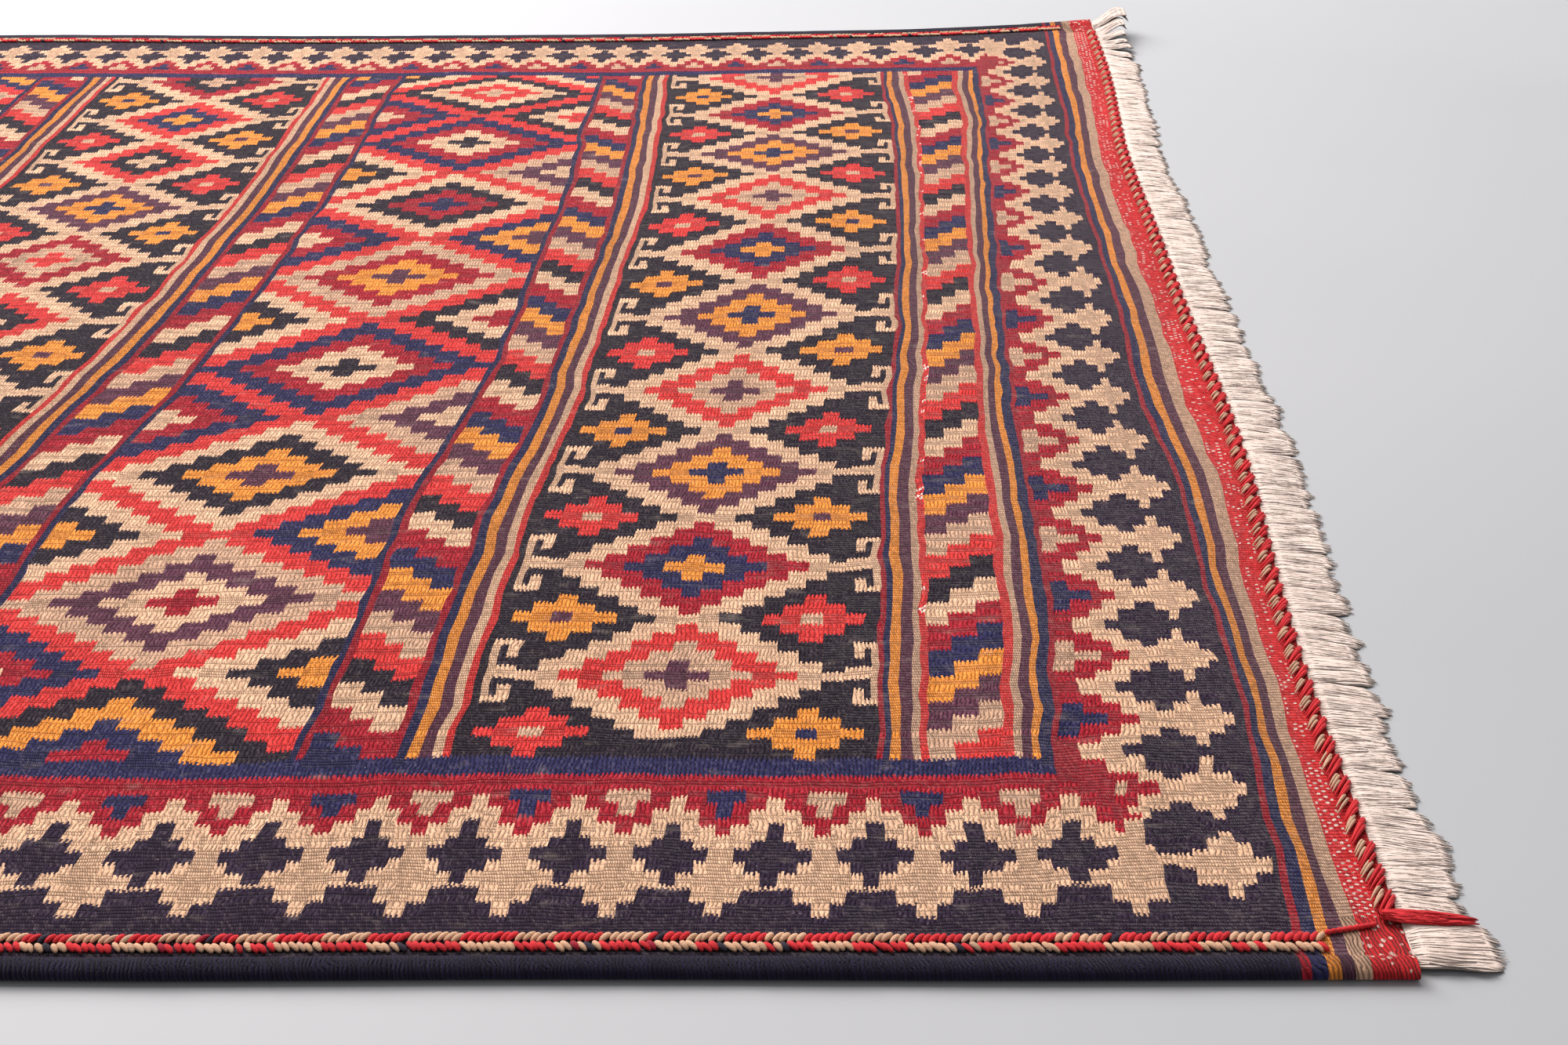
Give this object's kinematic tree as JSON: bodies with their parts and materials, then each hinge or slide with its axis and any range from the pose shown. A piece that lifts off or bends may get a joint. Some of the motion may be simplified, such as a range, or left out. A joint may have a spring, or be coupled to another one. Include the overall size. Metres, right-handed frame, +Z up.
{
  "type": "kilim rug",
  "caption": "Flat-woven wool kilim with bands of stepped diamonds, a star border, braided edges and a cotton fringe at each end, lying on the floor.",
  "frame": {"origin": "on the floor, under the middle of the rug's box, fringes included", "axes": "+X along the warps, the rug's length; +Y across them, from the near selvedge to the far one; +Z up from the floor"},
  "size_m": [2.3694, 1.5458, 0.015],
  "materials": {
    "cloth": "matt woven wool",
    "edge_braid": "matt stitched wool",
    "end_braid": "matt stitched wool",
    "fringe": "matt cotton yarn"
  },
  "bodies": {
    "root": {"cloth": "cloth", "braid_near": "edge_braid", "braid_far": "edge_braid", "end_braid_right": "end_braid", "end_braid_left": "end_braid", "fringe_right": "fringe", "fringe_left": "fringe"}
  },
  "joints": []
}
